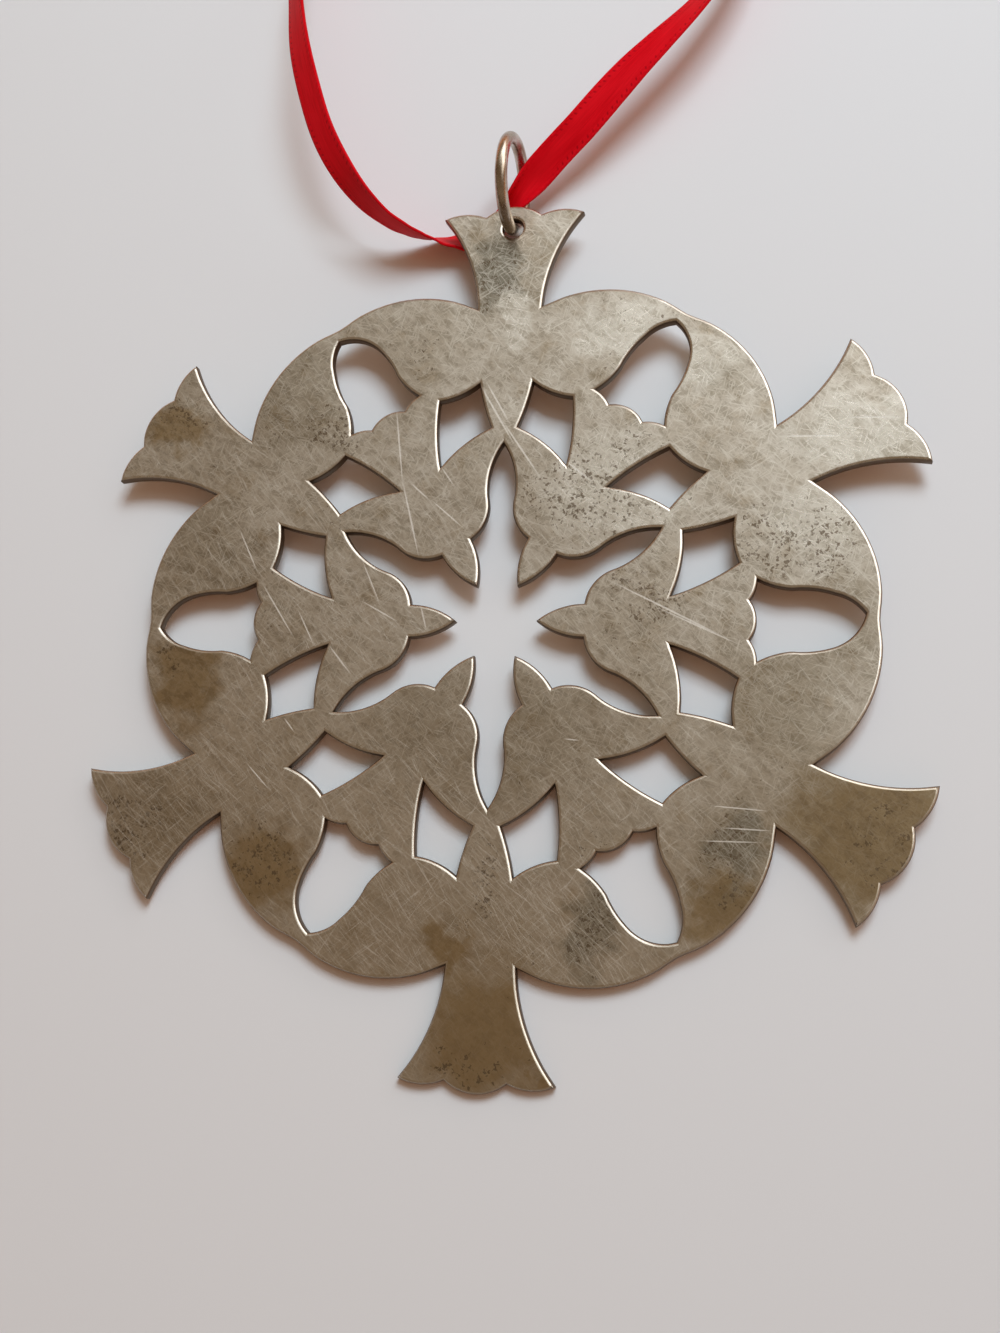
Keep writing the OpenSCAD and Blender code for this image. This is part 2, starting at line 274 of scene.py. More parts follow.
def bumped(height, strength, depth, **under):
    """Normals of a surface that is raised where the height is large; under is a bump below this one."""
    sockets = {"Strength": strength, "Distance": depth, "Height": height, **under}
    return height.add("ShaderNodeBump", {}, sockets, out="Normal")


print("texture helpers ready")

# %% Make the satin
RIBBON_WIDTH = 3.2 * MM
SELVEDGE_PITCH = 0.7 * MM
WEFT_PITCH = 0.30 * MM
DEEP_RED = (0.56, 0.002, 0.007)
CLEAR_RED = (0.74, 0.005, 0.014)
PAINTED_GLINT_RED = (0.80, 0.010, 0.020)
NICK_SHADE_RED = (0.16, 0.0, 0.004)


def satin():
    material, shader, start = new_material("red_satin")
    uv = start.add("ShaderNodeUVMap", {"uv_map": "weave"})
    along, across = (start.add("ShaderNodeSeparateXYZ", {}, {0: uv}, out=axis) for axis in "XY")
    warp = noise(stretched(uv, 3.0 * MM, 0.09 * MM), 1.0)
    broad = noise(stretched(uv, 9.0 * MM, 1.2 * MM), 1.0, 1.0)
    wave = start.add("ShaderNodeMath", {"operation": "SINE"}, {0: along * (2 * math.pi / WEFT_PITCH)})
    weft = wave * 0.5 + 0.5
    off_middle = start.add("ShaderNodeMath", {"operation": "ABSOLUTE"}, {0: across})
    edge_row = off_middle.step(0.95 * MM, 1.12 * MM) * off_middle.step(1.36 * MM, 1.24 * MM)
    slanted = {0: along + off_middle * 0.5, 1: SELVEDGE_PITCH / 2}
    turns = start.add("ShaderNodeMath", {"operation": "PINGPONG"}, slanted)
    nick = edge_row * turns.step(0.20 * MM, 0.31 * MM) * broad.step(0.34, 0.52)
    colour = mix_colours(warp.step(0.25, 0.75), DEEP_RED, CLEAR_RED)
    # Broad lighter streaks along the ribbon are a painted glint: sheen laid into the colour.
    colour = mix_colours(broad.step(0.35, 0.7) * 0.35, colour, PAINTED_GLINT_RED)
    # Painted shade: the nicks get a dark red that stands in for the shade in these small dips.
    colour = mix_colours(nick * 0.5, colour, NICK_SHADE_RED)
    bump = bumped(warp * 0.5 + weft * 0.18 - nick * 0.8, 0.5, 0.02 * MM)
    feed(shader, Base_Color=colour, Roughness=0.58 - warp * 0.16, Normal=bump, Specular_IOR_Level=0.05)
    return material


red_satin = satin()
print("material", red_satin.name, "with", len(red_satin.node_tree.nodes), "nodes")

# %% [markdown]
# ## The ribbon
# The ribbon comes out from under the top tail, folds up through the wire ring and leaves in two arms that
# arch a little off the table. It is a limp strip of fixed width and length, so it is built as one strip
# along a route of points. Each row gives a place, a roll about the route and how far the strip is cupped
# across its width, and a smooth curve runs through the rows. The rows are those of the solid, so the
# strip lies where the solid does.

# %% Give the ribbon's route
RIBBON_ROWS = [
    (-1.5, 109.2, 2.1, -80, 0), (-3.4, 106.4, 1.9, -74, 0), (-8.4, 101.8, 1.7, -68, 0),
    (-14.6, 96.0, 1.6, -66, 0), (-19.9, 89.5, 1.6, -65, 0), (-23.3, 82.5, 1.7, -64, 0),
    (-24.7, 75.2, 3.3, -60, 0), (-24.4, 68.0, 5.9, -54, 0), (-23.3, 61.4, 7.4, -48, 0),
    (-22.3, 56.1, 7.8, -40, 0), (-20.9, 51.0, 7.6, -37, 0), (-19.3, 46.4, 7.2, -39, 0),
    (-17.4, 42.8, 6.5, -46, 0), (-15.2, 39.9, 5.5, -63, 0), (-12.9, 38.0, 4.3, -84, 0),
    (-11.0, 37.2, 3.2, -99, 0), (-9.5, 36.9, 2.3, -111, 0), (-8.2, 36.8, 1.7, -122, 0),
    (-7.1, 36.7, 1.35, -133, 0), (-6.0, 36.8, 1.1, -145, 0), (-4.1, 37.0, 1.0, -172, 60),
    (-2.4, 37.9, 1.1, -178, 190), (-1.0, 39.3, 1.7, -178, 235), (0.3, 40.6, 2.5, -202, 170),
    (1.7, 42.2, 2.9, -212, 80), (3.0, 43.5, 3.3, -212, 20), (4.6, 45.0, 3.8, -211, 0),
    (6.6, 46.8, 4.4, -206, 0), (9.4, 49.8, 5.0, -192, 0), (11.7, 52.3, 5.3, -178, 0),
    (13.9, 54.6, 5.4, -166, 0), (17.7, 58.9, 5.2, -147, 0), (21.3, 64.5, 4.4, -132, 0),
    (23.7, 71.6, 2.9, -123, 0), (24.3, 79.5, 1.8, -117, 0), (22.2, 87.0, 1.6, -115, 0),
    (17.0, 94.2, 1.6, -115, 0), (10.2, 100.8, 1.7, -114, 0), (3.6, 106.0, 1.9, -106, 0),
    (0.3, 109.2, 2.1, -100, 0),
]
ROUTE_STEPS = 10


def unit(vectors):
    return vectors / np.linalg.norm(vectors, axis=-1, keepdims=True)


def smooth_route(rows, steps=ROUTE_STEPS):
    """More rows on the curve through the given ones: places in metres, roll and cup in radians."""
    rows = np.array(rows, float) * ([MM] * 3 + [math.pi / 180] * 2)
    last = len(rows) - 1
    fine = []
    for i in range(last):
        a, b, c, d = (rows[min(max(k, 0), last)] for k in range(i - 1, i + 3))
        for u in np.arange(steps) / steps:
            bend = (2 * a - 5 * b + 4 * c - d) * u**2 + (3 * b - a - 3 * c + d) * u**3
            fine.append((2 * b + (c - a) * u + bend) / 2)
    return np.array([*fine, rows[last]])


ribbon_route = smooth_route(RIBBON_ROWS)

# %% [markdown]
# A strip's section is a shallow arc, so a point on it is found from how far across it lies and how far it
# stands off the middle of the cloth. One function does that for the strip's faces, and later for the
# rows of thread turns along its edges.

# %% Find points on a strip
RIBBON_THICK = 0.25 * MM
ACROSS = np.linspace(-1, 1, 15)
CLOTH_HALF = RIBBON_THICK / 2 * (0.82 + 0.18 * np.abs(ACROSS) ** 6)


def strip_axes(route):
    """Unit vectors along the route, across the strip and out of its face."""
    places = route[:, :3]
    along = unit(np.vstack([places[1] - places[0], places[2:] - places[:-2], places[-1] - places[-2]]))
    side = unit(np.cross(along, (0, 0, 1)))
    up = np.cross(side, along)
    cos, sin = np.cos(route[:, 3:4]), np.sin(route[:, 3:4])
    return along, side * cos + up * sin, up * cos - side * sin


def on_strip(route, across, off):
    """Points across the strip (-1 to 1) that stand off its middle surface by a distance."""
    _, wide, high = strip_axes(route)
    cup = np.maximum(route[:, 4:5], math.radians(1))
    radius = RIBBON_WIDTH / cup
    level = radius * (1 + np.cos(cup / 2)) / 2
    return route[:, :3] + wide * (radius + off) * np.sin(cup * across / 2) + high * (
        (radius + off) * np.cos(cup * across / 2) - level
    )


print("strip of", len(ACROSS), "points across,", round(RIBBON_THICK / MM, 2), "mm thick")

# %% Build strips
def strip_mesh(target, route, slant=0.0):
    """Adds a closed strip with a UV map in metres to a bmesh; slant cuts its last end at an angle."""
    weave = target.loops.layers.uv.get("weave") or target.loops.layers.uv.new("weave")
    distance = np.concatenate([[0], np.cumsum(np.linalg.norm(np.diff(route[:, :3], axis=0), axis=1))])
    along, _, _ = strip_axes(route)
    sides = [(a, 1, h) for a, h in zip(ACROSS, CLOTH_HALF)]
    sides += [(a, -1, h) for a, h in zip(ACROSS[::-1], CLOTH_HALF[::-1])]
    columns = []
    for a, face, h in sides:
        points = on_strip(route, a, face * h)
        points[-1] += along[-1] * slant * a
        columns.append([target.verts.new(p) for p in points])
    flat = [a * RIBBON_WIDTH / 2 for a, _, _ in sides]
    count = len(columns)
    for k in range(count):
        n = (k + 1) % count
        for i in range(len(route) - 1):
            face = target.faces.new((columns[k][i], columns[k][i + 1], columns[n][i + 1], columns[n][i]))
            face.smooth = True
            for loop, (s, v) in zip(face.loops, ((i, k), (i + 1, k), (i + 1, n), (i, n))):
                loop[weave].uv = (distance[s], flat[v])
    target.faces.new([c[0] for c in columns])
    target.faces.new([c[-1] for c in reversed(columns)])


print("strip builder ready")

# %% Lay the ribbon
def new_piece(name, mesh, material=None):
    """A linked object for a finished mesh, at the origin."""
    if material:
        mesh.materials.append(material)
    piece = bpy.data.objects.new(name, mesh)
    scene.collection.objects.link(piece)
    return piece


def mesh_from(built, name):
    """A mesh from a bmesh, with its faces turned outwards."""
    bmesh.ops.recalc_face_normals(built, faces=built.faces)
    mesh = bpy.data.meshes.new(name)
    built.to_mesh(mesh)
    built.free()
    return mesh


cloth = bmesh.new()
strip_mesh(cloth, ribbon_route)
ribbon_loop = new_piece("ribbon_loop", mesh_from(cloth, "ribbon_loop"), red_satin)
print("ribbon_loop", len(ribbon_loop.data.polygons), "faces")

# %% [markdown]
# ## Thread turns along the edges
# Where the cross thread turns back it leaves a row of tiny bumps on each edge. Hundreds of equal bumps
# along a path are work for Geometry Nodes: two bare paths go in, points are set along them at the pitch
# of the weave, and one small bead is placed on each point, turned to lie in the cloth. The tree ends
# with real geometry, so the result is a plain mesh.

# %% Turn a node tree into a plain mesh
def node_tree(name, sizes):
    """A Geometry Nodes group with a geometry input, an output and named sizes."""
    tree = bpy.data.node_groups.new(name, "GeometryNodeTree")
    tree.interface.new_socket("Geometry", in_out="INPUT", socket_type="NodeSocketGeometry")
    tree.interface.new_socket("Geometry", in_out="OUTPUT", socket_type="NodeSocketGeometry")
    for size in sizes:
        tree.interface.new_socket(size, in_out="INPUT", socket_type="NodeSocketFloat")
    start = Tone(tree)
    given = tree.nodes.new("NodeGroupInput")
    return tree, start, {socket.name: Tone(tree, socket) for socket in given.outputs if socket.name}


def end_tree(tree, start, result, material):
    """Ends a tree in real geometry with its material."""
    real = start.add("GeometryNodeRealizeInstances", {}, {"Geometry": result})
    done = start.add("GeometryNodeSetMaterial", {}, {"Geometry": real, "Material": material})
    out = tree.nodes.new("NodeGroupOutput")
    tree.links.new(done.socket, out.inputs[0])


def grown_mesh(tree, carrier, sizes, name):
    """Runs a tree on a carrier mesh and returns the result as a plain mesh."""
    piece = bpy.data.objects.new(name + "_carrier", carrier)
    scene.collection.objects.link(piece)
    modifier = piece.modifiers.new(tree.name, "NODES")
    modifier.node_group = tree
    for socket in tree.interface.items_tree:
        if socket.in_out == "INPUT" and socket.name in sizes:
            modifier[socket.identifier] = sizes[socket.name]
    ready = bpy.context.evaluated_depsgraph_get()
    mesh = bpy.data.meshes.new_from_object(piece.evaluated_get(ready))
    mesh.name = name
    piece.modifiers.remove(modifier)
    bpy.data.objects.remove(piece)
    return mesh


print("geometry helpers ready")

# %% Grow the tree of thread turns
BEAD_SEGMENTS = 8
BEAD_RINGS = 5

tree, start, given = node_tree("thread_turns", ["Pitch", "Length", "Width", "Thickness"])
paths = start.add("GeometryNodeMeshToCurve", {}, {"Mesh": given["Geometry"]})
spacing = {"Curve": paths, "Length": given["Pitch"]}
points = start.add("GeometryNodeCurveToPoints", {"mode": "LENGTH"}, spacing)
tangent = Tone(tree, points.socket.node.outputs["Tangent"])
facing = start.add("GeometryNodeInputNamedAttribute", {"data_type": "FLOAT_VECTOR"}, {"Name": "facing"})
lengthways = start.add("FunctionNodeAlignRotationToVector", {"axis": "X"}, {"Vector": tangent})
settings = {"axis": "Z", "pivot_axis": "X"}
turned = {"Rotation": lengthways, "Vector": facing}
in_cloth = start.add("FunctionNodeAlignRotationToVector", settings, turned)
round_bead = {"Segments": BEAD_SEGMENTS, "Rings": BEAD_RINGS, "Radius": 0.5}
bead = start.add("GeometryNodeMeshUVSphere", {}, round_bead)
bead = start.add("GeometryNodeSetShadeSmooth", {}, {0: bead})
sides = {0: given["Length"], 1: given["Width"], 2: given["Thickness"]}
bead_size = start.add("ShaderNodeCombineXYZ", {}, sides)
placed = {"Points": points, "Instance": bead, "Rotation": in_cloth, "Scale": bead_size}
end_tree(tree, start, start.add("GeometryNodeInstanceOnPoints", {}, placed), red_satin)
print("tree", tree.name, "with", len(tree.nodes), "nodes")

# %% Set the thread turns
TURN_ACROSS = 0.885
TURN_SIZES = {"Pitch": SELVEDGE_PITCH, "Length": 0.62 * MM, "Width": 0.38 * MM, "Thickness": 0.29 * MM}

_, _, ribbon_high = strip_axes(ribbon_route)
edges = [on_strip(ribbon_route, side * TURN_ACROSS, 0.0) for side in (-1, 1)]
rows = len(ribbon_route)
links = [(e * rows + i, e * rows + i + 1) for e in range(2) for i in range(rows - 1)]
carrier = bpy.data.meshes.new("edge_paths")
carrier.from_pydata(np.vstack(edges).tolist(), links, [])
carrier.attributes.new("facing", "FLOAT_VECTOR", "POINT")
carrier.attributes["facing"].data.foreach_set("vector", np.vstack([ribbon_high, ribbon_high]).ravel())
selvedge_mesh = grown_mesh(tree, carrier, TURN_SIZES, "ribbon_selvedge")
ribbon_selvedge = new_piece("ribbon_selvedge", selvedge_mesh)
bead_faces = BEAD_SEGMENTS * BEAD_RINGS
print("ribbon_selvedge", len(selvedge_mesh.polygons) // bead_faces, "thread turns")

# %% [markdown]
# ## The knot
# The two arms meet in a plain tied knot, with two short cut ends. A knot in a flat ribbon is a
# bundle of folds with one band drawn round it. Here the bundle is a crumpled barrel, the band is a
# strip wound one and a half times round it, and the ends are strips cut on a slant.

# %% Fold the cloth into a barrel
KNOT_PLACE = np.array((-0.6, 110.8, 2.15)) * MM
KNOT_LENGTH = 5.6 * MM
KNOT_THICK = 4.2 * MM


def fold_barrel(target, place, length, thick, rings=22, sides=40):
    """A crumpled barrel along +Y: folds run along it and gather at both ends."""
    weave = target.loops.layers.uv.get("weave") or target.loops.layers.uv.new("weave")
    grid = []
    for i in range(rings + 1):
        t = i / rings * 2 - 1
        swell = math.sqrt(max(1 - abs(t) ** 3.2, 0.0)) * 0.62 + 0.30
        row = []
        for k in range(sides):
            a = 2 * math.pi * k / sides
            fold = 0.09 * math.sin(5 * a + 2.2 * t) + 0.05 * math.sin(9 * a - 3.1 * t + 1.0)
            r = thick / 2 * swell * (1 + fold * (0.45 + 0.55 * abs(t)))
            point = np.array((r * math.cos(a), t * length / 2, r * math.sin(a)))
            row.append(target.verts.new(place + point))
        grid.append(row)
    for i in range(rings):
        for k in range(sides):
            n = (k + 1) % sides
            face = target.faces.new((grid[i][k], grid[i][n], grid[i + 1][n], grid[i + 1][k]))
            face.smooth = True
            for loop, (s, v) in zip(face.loops, ((i, k), (i, k + 1), (i + 1, k + 1), (i + 1, k))):
                loop[weave].uv = (s / rings * length, (v / sides * 10 % 1 - 0.5) * RIBBON_WIDTH * 0.6)
    target.faces.new(grid[0])
    target.faces.new(list(reversed(grid[-1])))


print("barrel", round(KNOT_LENGTH / MM, 1), "mm long")

# %% Wind a band round the barrel
BAND_WIDTH = 2.5 * MM
BAND_TURNS = 1.5
BAND_RISE = 0.5 * MM


def wound_band(target, place, radius, width, turns, rise, steps=72):
    """A closed strip wound round the barrel, tightest at its middle."""
    weave = target.loops.layers.uv.get("weave") or target.loops.layers.uv.new("weave")
    spread = np.linspace(-1, 1, 9)
    rows = []
    for i in range(steps + 1):
        a = 2 * math.pi * turns * i / steps + 0.7
        level = rise * (i / steps - 0.5)
        r = radius * (1.0 + 0.10 * i / steps)
        row = []
        for face in (1, -1):
            for s in spread[::face]:
                off = r - 0.10 * radius * s * s + face * RIBBON_THICK / 2
                y = level + s * width / 2 + 0.12 * width * math.sin(a * 1.3) * s
                point = np.array((off * math.cos(a), y, off * math.sin(a)))
                row.append(target.verts.new(place + point))
        rows.append(row)
    count = len(rows[0])
    for i in range(steps):
        for k in range(count):
            n = (k + 1) % count
            face = target.faces.new((rows[i][k], rows[i + 1][k], rows[i + 1][n], rows[i][n]))
            face.smooth = True
            for loop, (s, v) in zip(face.loops, ((i, k), (i + 1, k), (i + 1, n), (i, n))):
                part = spread[v] if v < len(spread) else spread[count - 1 - v]
                loop[weave].uv = (s / steps * turns * 2 * math.pi * radius, part * RIBBON_WIDTH / 2)
    target.faces.new(rows[0])
    target.faces.new(list(reversed(rows[-1])))


print("band of", BAND_TURNS, "turns")

# %% Tie the knot
LEFT_END_ROWS = [
    (-1.4, 112.2, 2.1, 80, 0), (-2.6, 115.4, 1.7, 60, 0),
    (-4.6, 119.2, 1.2, 38, 0), (-6.4, 123.6, 0.9, 25, 0),
]
RIGHT_END_ROWS = [
    (0.2, 112.2, 2.1, -80, 0), (1.4, 115.4, 1.7, -60, 0),
    (3.2, 118.8, 1.2, -38, 0), (5.8, 122.4, 0.9, -25, 0),
]
END_SLANT = 1.0 * MM

knot = bmesh.new()
fold_barrel(knot, KNOT_PLACE, KNOT_LENGTH, KNOT_THICK * 0.90)
wound_band(knot, KNOT_PLACE, KNOT_THICK * 0.455, BAND_WIDTH, BAND_TURNS, BAND_RISE)
for end_rows, slant in ((LEFT_END_ROWS, END_SLANT), (RIGHT_END_ROWS, -END_SLANT)):
    strip_mesh(knot, smooth_route(end_rows), slant)
tied_knot = new_piece("tied_knot", mesh_from(knot, "tied_knot"), red_satin)
print("tied_knot", len(tied_knot.data.polygons), "faces")

# %% Attach the ribbon pieces to the ornament and hide their solids
for piece, node in ((ribbon_loop, "ribbon"), (ribbon_selvedge, "ribbon"), (tied_knot, "ribbon_knot")):
    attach(piece, "ornament")
    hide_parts(node)

# %% [markdown]
# ## Tarnished silver
# Old silver sheet is not one colour. It is warm grey where hands keep it bright and browner where tarnish
# has settled. It is freckled with small dark pits, and crossed by strokes and hair-fine scratches that
# catch the light. Each of these could be painted, but masks made by nodes stay sharp at any distance: 0
# where a mark is missing and 1 where it is full. All masks read the sheet's own coordinates, in
# millimetres, so the pattern stays on the metal.

# %% Draw ovals and streaks
SHEET_REACH = 50


def in_millimetres(start):
    """The place on a piece, in its own coordinates."""
    metres = start.add("ShaderNodeTexCoord", out="Object")
    return start.add("ShaderNodeVectorMath", {"operation": "SCALE"}, {0: metres, "Scale": 1 / MM})


def streaks(place, angle, length, width, shift, detail=3.0, rough=0.6):
    """Noise drawn out along an angle to +X, in degrees; sizes in millimetres."""
    return noise(stretched(place, length, width, angle, shift), 1.0, detail, rough)


def oval(place, x, y, reach_x, reach_y, angle=0.0):
    """A soft oval in millimetres, 1 in its middle."""
    sized = stretched(place, reach_x, reach_y, angle, (x, y), SHEET_REACH)
    off = place.add("ShaderNodeVectorMath", {"operation": "LENGTH"}, {0: sized}, out="Value")
    return off.step(1.2, 0.5)


def ovals(place, rows):
    """All the ovals of one kind in one mask."""
    mask = oval(place, *rows[0])
    for row in rows[1:]:
        mask = mask.larger(oval(place, *row))
    return mask


silver, shader, start = new_material("tarnished_silver")
place = in_millimetres(start)
print("material", silver.name, "started")

# %% [markdown]
# Marks with a place of their own on the sheet are ovals: the middle, the two reaches and the angle of each
# one, in millimetres and degrees. A scratch is an oval too, only very thin.

# %% Place the tarnish and the bright places
PITTED = [
    (-20.8, -25.5, 3.8, 3.8), (-34.5, -23.5, 3.0, 4.5), (-32.5, 18.0, 3.8, 2.6), (-31.8, -6.5, 1.3, 2.4),
    (9.5, 9.5, 9.5, 6.5), (27.0, 4.0, 6.5, 5.0), (21.9, -24.0, 3.5, 5.0), (9.8, -30.5, 2.6, 4.6, -15),
    (0.0, -27.0, 2.0, 4.5), (-17.0, 16.0, 4.0, 3.0), (35.0, -23.0, 4.0, 4.5), (0.0, -43.0, 5.5, 1.6),
    (-1.6, 31.6, 3.0, 4.0), (14.0, -1.0, 5.0, 4.0),
]
BROWN = [
    (-3.1, -33.3, 3.0, 2.0, -30), (5.6, -44.0, 1.5, 1.4), (0.5, -40.0, 7.0, 6.0), (34.0, -22.0, 9.0, 8.0),
    (-30.0, -9.0, 4.0, 5.0), (-33.0, 17.0, 4.0, 3.0), (-20.8, -26.5, 4.0, 4.5), (22.0, -29.0, 4.5, 3.5),
]
GREY = [(9.8, -30.5, 2.8, 4.8, -15), (-1.2, 32.4, 3.0, 4.5), (22.8, -23.6, 3.0, 3.4)]
DULL = [
    (-20.7, 19.3, 6.0, 6.0), (-28.8, 4.0, 5.0, 6.0), (26.0, -10.0, 6.0, 6.5), (22.4, -24.4, 5.0, 6.0),
    (32.5, -21.6, 9.0, 8.0), (0.0, 32.0, 6.0, 6.0), (-31.4, -22.4, 6.0, 6.0), (0.0, -14.0, 13.0, 7.0),
    (20.3, 20.5, 2.6, 2.6), (36.0, 12.0, 5.0, 4.0), (31.5, -3.0, 4.0, 6.0),
]
# Bright places, all on the upper right of the sheet: partly cleaner silver, partly a painted highlight
# where the sheet reflects the light.
BRIGHT_AND_HIGHLIT = [
    (11.3, 25.4, 5.5, 3.6), (0.4, 27.0, 1.6, 3.0), (33.0, 14.5, 7.0, 4.0), (17.5, 21.5, 4.5, 3.0),
    (11.0, 9.0, 8.0, 6.0), (29.0, 6.0, 5.0, 5.0),
]
print(sum(len(rows) for rows in (PITTED, BROWN, GREY, DULL, BRIGHT_AND_HIGHLIT)), "ovals of tarnish")

# %% Place the scratches
SCORES = [
    (-10.2, 14.1, 4.3, 0.09, -82), (-8.7, 6.9, 4.3, 0.10, -75), (-11.1, -2.3, 2.1, 0.08, -29),
    (-6.9, -2.8, 1.4, 0.08, -74), (-5.3, 11.0, 1.2, 0.08, -55), (-7.9, 9.5, 1.5, 0.08, -42),
    (-5.1, 7.2, 2.3, 0.07, -41), (-21.3, -2.1, 3.5, 0.08, -56), (-18.3, -3.9, 2.1, 0.07, -62),
    (-12.2, 0.6, 2.5, 0.07, -65), (-24.8, 3.9, 2.5, 0.08, -63), (-14.8, -6.9, 1.9, 0.08, -50),
    (15.7, -2.1, 6.3, 0.10, -27), (18.5, -3.7, 4.3, 0.09, -25), (21.6, -22.9, 2.7, 0.07, 0),
    (22.3, -20.0, 2.6, 0.07, -4), (23.0, -21.8, 2.3, 0.07, -2), (7.5, -14.2, 0.7, 0.07, -5),
    (-19.3, -13.2, 0.9, 0.08, -50), (-22.0, -18.1, 1.7, 0.07, -45), (34.4, 15.6, 2.5, 0.09, -2),
    (28.3, 14.0, 3.2, 0.09, -1), (7.4, 11.1, 1.8, 0.10, -40), (1.7, 13.6, 3.9, 0.10, -56),
    (-0.8, 17.2, 4.1, 0.10, -60), (-0.7, 18.3, 2.5, 0.09, -60),
]
print(len(SCORES), "scratches")

# %% [markdown]
# Noise of three sizes gives the clouds, the mottling and the specks of the tarnish, and also shifts the
# borders of the ovals, which would look drawn if they were smooth. Pits come from a Voronoi texture, which
# divides the sheet into small cells. Each cell has a chance of its own, and only a cell whose chance beats
# the crowding at its place gets a pit.

# %% Mask the tarnish
BORDER_SHIFT = 7.0

cloud = noise(place, 0.11, 3.0, 0.55)
mottle = noise(place, 0.45, 4.0, 0.62)
speck = noise(place, 2.2, 3.0, 0.6)
drift = noise(place, 0.4, 3.0, out="Color")
drift = start.add("ShaderNodeVectorMath", {"operation": "SUBTRACT"}, {0: drift, 1: (0.5, 0.5, 0.5)})
shift = {0: drift, 1: (BORDER_SHIFT, BORDER_SHIFT, 0.0)}
drift = start.add("ShaderNodeVectorMath", {"operation": "MULTIPLY"}, shift)
ragged = start.add("ShaderNodeVectorMath", {"operation": "ADD"}, {0: place, 1: drift})
pitted, brown, grey = (ovals(ragged, rows) for rows in (PITTED, BROWN, GREY))
bright, dull = (ovals(ragged, rows) for rows in (BRIGHT_AND_HIGHLIT, DULL))
veil = (cloud * 1.2 + mottle * 0.6 - bright * 0.35).step(0.55, 1.15)
lower = start.add("ShaderNodeSeparateXYZ", {}, {0: place}, out="Y").step(5.0, -45.0)
print("tarnish masks ready,", len(silver.node_tree.nodes), "nodes")

# %% Mask the pits
PIT_CELLS = 2.3
PIT_JITTER = 0.9

jitter = noise(place, 3.0, out="Color")
shift = {0: jitter, 1: (PIT_JITTER, PIT_JITTER, 0.0)}
jitter = start.add("ShaderNodeVectorMath", {"operation": "MULTIPLY"}, shift)
uneven = start.add("ShaderNodeVectorMath", {"operation": "ADD"}, {0: place, 1: jitter})
cells = {"Vector": uneven, "Scale": PIT_CELLS}
cell = start.add("ShaderNodeTexVoronoi", {"voronoi_dimensions": "2D"}, cells, out="Distance")
cell_colour = Tone(silver.node_tree, cell.socket.node.outputs["Color"])
chance = start.add("ShaderNodeSeparateColor", {}, {0: cell_colour})
crowd = (pitted * 0.85).larger(cloud.step(0.50, 0.72) * 0.45) + 0.06
pit_size = (chance + crowd - 1).larger(0.0) * 0.55
pits = (pit_size - cell).step(-0.04, 0.08) * mottle.step(0.36, 0.50)
print("pit mask ready,", PIT_CELLS, "cells in a millimetre")

# %% [markdown]
# Rubbing leaves short strokes in a few directions, drawn from noise that is stretched more than tenfold.
# Soil and blotches of grime, from shorter noise, stay between them. Hair scratches are noise stretched
# up to two hundredfold and more, cut off so high that only its crests are left. The larger of two masks
# joins them without making a crossing stronger.

# %% Mask the strokes and scratches
STROKES = [(-50, 2.4, 0.17), (32, 2.0, 0.17), (74, 1.8, 0.16), (-14, 2.2, 0.16)]
HAIRS = [
    (-46, 5.0, 0.06, 0.64, 0.71), (-63, 3.6, 0.06, 0.65, 0.72), (-34, 4.2, 0.06, 0.65, 0.72),
    (40, 3.8, 0.06, 0.65, 0.72), (-40, 22.0, 0.09, 0.715, 0.75), (-55, 17.0, 0.09, 0.72, 0.755),
    (57, 14.0, 0.08, 0.72, 0.755),
]

strokes = streaks(place, *STROKES[0], (0, 0), 2.0)
for i, row in enumerate(STROKES[1:], start=1):
    strokes = strokes.larger(streaks(place, *row, (5.3 * i, 3.1 * i), 2.0))
rubbed = strokes.step(0.57, 0.67) * (1 - veil * 0.45) * (1 - brown * 0.8) * (1 - lower * 0.5)
soil = streaks(place, -55, 0.5, 0.26, (9.0, 4.0), 4.0, 0.7).step(0.54, 0.68) * (pitted * 0.65 + 0.35)
blotch = streaks(place, -35, 1.5, 0.9, (2.0, 7.0), 4.0, 0.65).step(0.52, 0.40)
grime = (speck.step(0.54, 0.38) * 0.35).larger(blotch * 0.7) * (1 - lower * 0.65) * (1 - rubbed)
hair = ovals(place, SCORES)
for i, (angle, length, width, low, high) in enumerate(HAIRS):
    crest = streaks(place, angle, length, width, (3.7 * i, -5.1 * i), 1.0).step(low, high)
    hair = hair.larger(crest * (0.5 - brown * 0.4))
print("stroke masks ready,", len(silver.node_tree.nodes), "nodes")

# %% [markdown]
# The colours are laid over each other in the order in which the sheet got them: the metal, the veil of
# tarnish, brown and grey places, soil and grime, then what rubs them off again, and the pits and scratches
# on top. The lower half has a little more brown. The bright places on the upper right are partly cleaner
# silver and partly a painted highlight. An attribute that the sheet will carry tells its face, its
# eased rim, its sawn wall and its back apart.

# %% Colour the face of the silver
CLEAN_SILVER = (0.75, 0.71, 0.645)
VEILED_SILVER = (0.595, 0.54, 0.46)
BRIGHT_SILVER = (0.95, 0.93, 0.88)
BROWN_TARNISH = (0.44, 0.325, 0.175)
GREY_TARNISH = (0.335, 0.33, 0.29)
DULL_FILM = (0.79, 0.77, 0.73)
SOIL_FILM = (0.66, 0.62, 0.56)
GRIME_FILM = (0.62, 0.59, 0.54)
PIT_COLOUR = (0.16, 0.115, 0.07)

